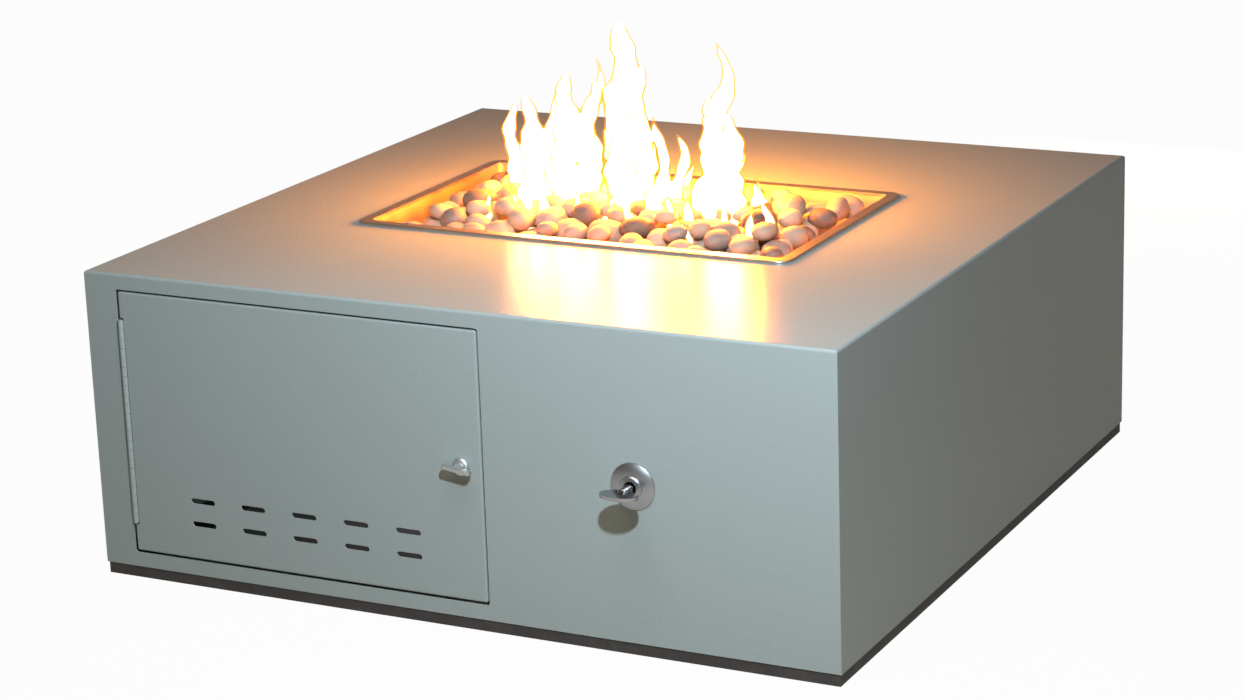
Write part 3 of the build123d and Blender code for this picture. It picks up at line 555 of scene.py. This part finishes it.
# %% Flame tongues
RINGS = 24
RING_CORNERS = 12
FLATNESS = 0.8
TWIST = 0.14
TIP = 0.0012
FRINGE = 0.0028
VOXEL = 0.0025
FLAME_SINK = 0.02
FLAME_FOOT = rim_top - FLAME_SINK
FOOT_SHARE = 0.5
SWELLING = 2.0
SHOULDER = 0.8
# the waves run along the climb, in radians to the metre, and a ripple is a share of the girth
SWAY = 0.009
SWAY_GROWTH = 0.7
SWAY_X_WAVE = 55.0
SWAY_Y_WAVE = 45.0
SLOW_RIPPLE = 0.16
SLOW_WAVE = 90.0
QUICK_RIPPLE = 0.1
QUICK_WAVE = 210.0


def girth_at(rise, taper):
    """Share of the full girth: narrow between the stones, full at a quarter of the height, then drawn in."""
    return min(FOOT_SHARE + SWELLING * rise, ((1.0 - rise) / SHOULDER) ** taper)


def tongue(x, y, height, girth, lean, taper, seed, inset):
    """One tongue of flame, thinner by the inset all round."""
    bm = bmesh.new()
    dice = random.Random(seed)
    phase, wobble, pulse, flicker = (dice.uniform(0, 2 * math.pi) for _ in range(4))
    foot = Vector((x, y, FLAME_FOOT))
    size = girth * girth_at(0, taper) - inset
    ring = bmesh.ops.create_circle(bm, cap_ends=True, segments=RING_CORNERS, radius=size)["verts"]
    bmesh.ops.scale(bm, vec=(1.0, FLATNESS, 1.0), verts=ring)
    bmesh.ops.rotate(bm, matrix=Matrix.Rotation(phase, 3, "Z"), verts=ring)
    bmesh.ops.translate(bm, vec=foot, verts=ring)
    face = ring[0].link_faces[0]
    middle = foot
    for step in range(1, RINGS + 1):
        rise = step / RINGS
        climb = height * rise
        ripple = (
            SLOW_RIPPLE * math.sin(pulse + SLOW_WAVE * climb)
            + QUICK_RIPPLE * math.sin(flicker + QUICK_WAVE * climb)
        )
        wanted = max(TIP, girth * girth_at(rise, taper) * (1.0 + ripple) - inset)
        grown = bmesh.ops.extrude_face_region(bm, geom=[face])["geom"]
        # the first disc stays and closes the foot, the later ones would be walls inside the flame
        if step > 1:
            bmesh.ops.delete(bm, geom=[face], context="FACES_ONLY")
        ring = [part for part in grown if isinstance(part, bmesh.types.BMVert)]
        face = next(part for part in grown if isinstance(part, bmesh.types.BMFace))
        sway = SWAY * rise ** SWAY_GROWTH
        target = foot + Vector((
            lean * climb + sway * math.sin(phase + SWAY_X_WAVE * climb),
            sway * math.sin(wobble + SWAY_Y_WAVE * climb),
            climb,
        ))
        bmesh.ops.translate(bm, vec=target - middle, verts=ring)
        about = Matrix.Translation(-target)
        bmesh.ops.scale(bm, vec=Vector((1, 1, 1)) * (wanted / size), space=about, verts=ring)
        bmesh.ops.rotate(bm, cent=target, matrix=Matrix.Rotation(TWIST, 3, "Z"), verts=ring)
        middle, size = target, wanted
        if wanted == TIP:
            break
    bmesh.ops.recalc_face_normals(bm, faces=bm.faces)
    return bm


def evenly(count):
    """Even steps from -1 to 1."""
    return [2 * step / (count - 1) - 1 for step in range(count)]


FIRE_SEED = 7
FIRE_REACH = 0.17
LOW_HEIGHTS = (0.05, 0.085)
FOOT_TONGUES = 11
FOOT_OFFSET = 0.035
FOOT_GIRTH = 0.02
FOOT_TAPER = 0.6
FOOT_LEAN = 0.1
FOOT_SCATTER = 0.01
FOOT_SEED = 100
BURNER_BAR = 0.075
LICKS = 9
LICK_GIRTH = 0.011
LICK_TAPER = 0.65
LICK_LEAN = 0.2
LICK_SCATTER = 0.012
# x, y, height above the rim, girth, lean and taper of each: two clumps with a lower saddle between them
tall_tongues = (
    (-0.181, 0.004, 0.138, 0.017, 0.00, 0.35),
    (-0.136, -0.006, 0.148, 0.024, -0.10, 0.35),
    (-0.128, 0.010, 0.150, 0.022, 0.04, 0.40),
    (-0.116, 0.015, 0.168, 0.028, 0.10, 0.45),
    (-0.096, -0.015, 0.186, 0.028, 0.06, 0.40),
    (-0.078, 0.010, 0.214, 0.026, 0.12, 0.85),
    (-0.068, -0.012, 0.176, 0.020, 0.10, 0.35),
    (-0.004, 0.000, 0.258, 0.036, 0.00, 0.33),
    (0.004, -0.030, 0.205, 0.026, -0.02, 0.45),
    (0.006, 0.015, 0.200, 0.026, 0.02, 0.45),
    (0.052, 0.000, 0.132, 0.016, -0.05, 0.50),
    (0.070, 0.004, 0.108, 0.015, 0.03, 0.40),
    (0.130, 0.000, 0.242, 0.040, 0.06, 0.85),
    (0.122, 0.015, 0.160, 0.024, 0.02, 0.40),
    (0.152, -0.008, 0.146, 0.026, 0.02, 0.35),
    (0.130, 0.020, 0.110, 0.022, 0.00, 0.50),
    (0.141, -0.105, 0.030, 0.009, -0.10, 0.60),
    (0.222, -0.078, 0.040, 0.010, -0.05, 0.50),
    (0.229, -0.030, 0.036, 0.013, -0.25, 0.45),
)


def flames(name, finish, inset):
    dice = random.Random(FIRE_SEED)
    bm = bmesh.new()
    for number, (x, y, height, girth, lean, taper) in enumerate(tall_tongues):
        pour(tongue(x, y, height + FLAME_SINK, girth, lean, taper, number, inset), bm)
    for step, share in enumerate(evenly(FOOT_TONGUES)):
        x = FIRE_REACH * share + dice.uniform(-FOOT_SCATTER, FOOT_SCATTER)
        y = FOOT_OFFSET * (-1) ** step
        height = dice.uniform(*LOW_HEIGHTS)
        lean = dice.uniform(-FOOT_LEAN, FOOT_LEAN)
        pour(tongue(x, y, height, FOOT_GIRTH, lean, FOOT_TAPER, FOOT_SEED + step, inset), bm)
    for bar in (-BURNER_BAR, BURNER_BAR):
        for step, share in enumerate(evenly(LICKS)):
            x = FIRE_REACH * share + dice.uniform(-LICK_SCATTER, LICK_SCATTER)
            y = bar + dice.uniform(-LICK_SCATTER, LICK_SCATTER)
            height = dice.uniform(*LOW_HEIGHTS)
            lean = dice.uniform(-LICK_LEAN, LICK_LEAN)
            pour(tongue(x, y, height, LICK_GIRTH, lean, LICK_TAPER, step + bar, inset), bm)
    mesh = bpy.data.meshes.new(name)
    bm.to_mesh(mesh)
    bm.free()
    mesh.materials.append(finish)
    skin = bpy.data.objects.new(name, mesh)
    bpy.context.scene.collection.objects.link(skin)
    melting = skin.modifiers.new("melting", "REMESH")
    melting.mode = "VOXEL"
    melting.voxel_size = VOXEL
    skin.visible_shadow = False
    skin.visible_diffuse = False
    print(name, len(mesh.polygons), "faces")


flames("flame_mantle", flame_mantle(), 0.0)
flames("flame_core", flame_core(), FRINGE)

# %% [markdown]
# The set. The ground is a warm brown that lights the shadows of the key and the latch from below. Both it and
# the world turn white for the camera, and partly for mirror-like rays, so that the background is white
# without more light on the object. Under the case, where it is seen through the vent slots, the ground is not
# white and has a darker grey, a painted shade. The world fades above the horizon, so that polished metal has
# something to show.

# %% Floor and world
MIRRORED_WHITE = 0.42
FLOOR_WHITE = 0.97
FLOOR_REACH = 12.0
EDGE_INSET = 0.01
EDGE_FADE = 0.0025
# the darker grey of the ground under the case is a painted shade
UNDER_CASE_PAINTED_SHADE = (0.26, 0.25, 0.27, 1.0)
OPEN_GROUND = (0.45, 0.37, 0.27, 1.0)


def white_to_camera(shader):
    """1 for rays straight from the camera, and a share for those off paint and metal."""
    outputs = shader.node("LightPath").socket.node.outputs
    straight = Tone(shader.tree, outputs["Is Camera Ray"])
    mirrored = Tone(shader.tree, outputs["Is Glossy Ray"])
    return straight.at_least(MIRRORED_WHITE * mirrored)


def studio_floor():
    finish = Finish("studio_floor")
    x, y, _ = finish.axes(finish.place())
    edge = cad_high[0] - EDGE_INSET
    beyond = ((x.absolute().at_least(y.absolute()) - edge) / EDGE_FADE).clipped()
    # painted shade for the ground under the case
    under_case_painted_shade = finish.node("BsdfDiffuse", Color=UNDER_CASE_PAINTED_SHADE)
    open_ground = finish.node("BsdfDiffuse", Color=OPEN_GROUND)
    ground = finish.node("MixShader", _0=beyond, _1=under_case_painted_shade, _2=open_ground)
    white = finish.node("Emission", Color=WHITE, Strength=1.0)
    share = FLOOR_WHITE * white_to_camera(finish) * beyond
    return finish.ends_in(finish.node("MixShader", _0=share, _1=ground, _2=white))


bm = bmesh.new()
bmesh.ops.create_grid(bm, x_segments=1, y_segments=1, size=FLOOR_REACH)
floor_mesh = bpy.data.meshes.new("studio_floor")
bm.to_mesh(floor_mesh)
bm.free()
floor_mesh.materials.append(studio_floor())
floor = bpy.data.objects.new("studio_floor", floor_mesh)
bpy.context.scene.collection.objects.link(floor)

AMBIENT = 0.075
AMBIENT_TINT = (1.0, 0.66, 0.42, 1.0)
ZENITH = 0.25
HORIZON_FADE = 5.0
world = bpy.data.worlds.new("white_studio")
world.use_nodes = True
bpy.context.scene.world = world
sky = Shader(world.node_tree)
_, _, climb = sky.axes(sky.node("TexCoord", out=0))
horizon = (1.0 - HORIZON_FADE * climb).clipped() * (1.0 - ZENITH) + ZENITH
seen = white_to_camera(sky)
shade = sky.blend(seen, AMBIENT_TINT, WHITE)
backdrop = sky.node("Background", Color=shade, Strength=AMBIENT + (horizon - AMBIENT) * seen)
world_output = sky.tree.nodes.new("ShaderNodeOutputWorld")
sky.tree.links.new(backdrop.socket, world_output.inputs["Surface"])
print("floor and world ready")

# %% [markdown]
# The lamps. One small hard lamp stands in for the flash, near the camera and above it, because the key and
# the latch throw sharp shadows down and to the left. A wide soft lamp overhead lifts the front of the top,
# and two more, lower than the top so that they don't touch it, light the left side and the back for the other
# views. A faint one inside keeps the vent slots and the open cabinet from going black. Three warm lamps among
# the flames give the orange glow on the top, and five small yellow ones, low over the stones, light the walls
# of the pan.

# %% Lamps
def lamp(name, place, power, size, tint=(1.0, 1.0, 1.0), aim=None):
    """A disc that faces its aim or, without an aim, a small glowing ball."""
    light = bpy.data.lights.new(name, "AREA" if aim else "POINT")
    light.energy = power
    light.color = tint
    holder = bpy.data.objects.new(name, light)
    holder.matrix_world = Matrix.Translation(place)
    if aim:
        light.shape = "DISK"
        light.size = size
        way = (Vector(aim) - Vector(place)).normalized()
        holder.matrix_world = holder.matrix_world @ way.to_track_quat("-Z", "Y").to_matrix().to_4x4()
    else:
        light.shadow_soft_size = size
    holder.visible_camera = False
    bpy.context.scene.collection.objects.link(holder)


FLASH_WAY = Vector((0.54, -1.0, 1.12))
rose_low, rose_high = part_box("escutcheon")
flash_place = (Vector(rose_low) + Vector(rose_high)) / 2 + FLASH_WAY
lamp("flash", flash_place, power=29.0, size=0.07, tint=(0.93, 1.07, 1.19), aim=(0.1, -0.3, 0.3))
lamp("overhead", (0.25, -0.9, 1.6), power=9.0, size=0.8, tint=(1.02, 0.97, 0.9), aim=(0.1, -0.4, rim_top))
lamp("cabinet_light", (-0.15, -0.15, 0.2), power=0.45, size=0.1)

FILL_DISTANCE = 2.4
FILL_HEIGHT = 0.7 * rim_top
fills = {
    "left_fill": (-FILL_DISTANCE, 0.1, FILL_HEIGHT),
    "back_fill": (0.1, FILL_DISTANCE, FILL_HEIGHT),
}
for name, place in fills.items():
    lamp(name, place, power=24.0, size=0.2, aim=(0.0, 0.0, FILL_HEIGHT))

GLOW_RISE = 0.1
for index, x in enumerate((-0.11, 0.01, 0.12)):
    lamp(f"fire_glow_{index}", (x, 0.03, rim_top + GLOW_RISE), power=17.0, size=0.05, tint=(1.0, 0.24, 0.0))

EMBERS = 5
EMBER_REACH = 0.8 * FIRE_REACH
EMBER_RISE = 0.035
for index, share in enumerate(evenly(EMBERS)):
    place = (EMBER_REACH * share, 0.0, rim_top + EMBER_RISE)
    lamp(f"ember_{index}", place, power=2.0, size=0.015, tint=(1.0, 0.68, 0.06))
print("lamps ready")

# %% [markdown]
# Last, the view settings stay plain.

# %% Finish
bpy.context.scene.view_settings.view_transform = "Standard"
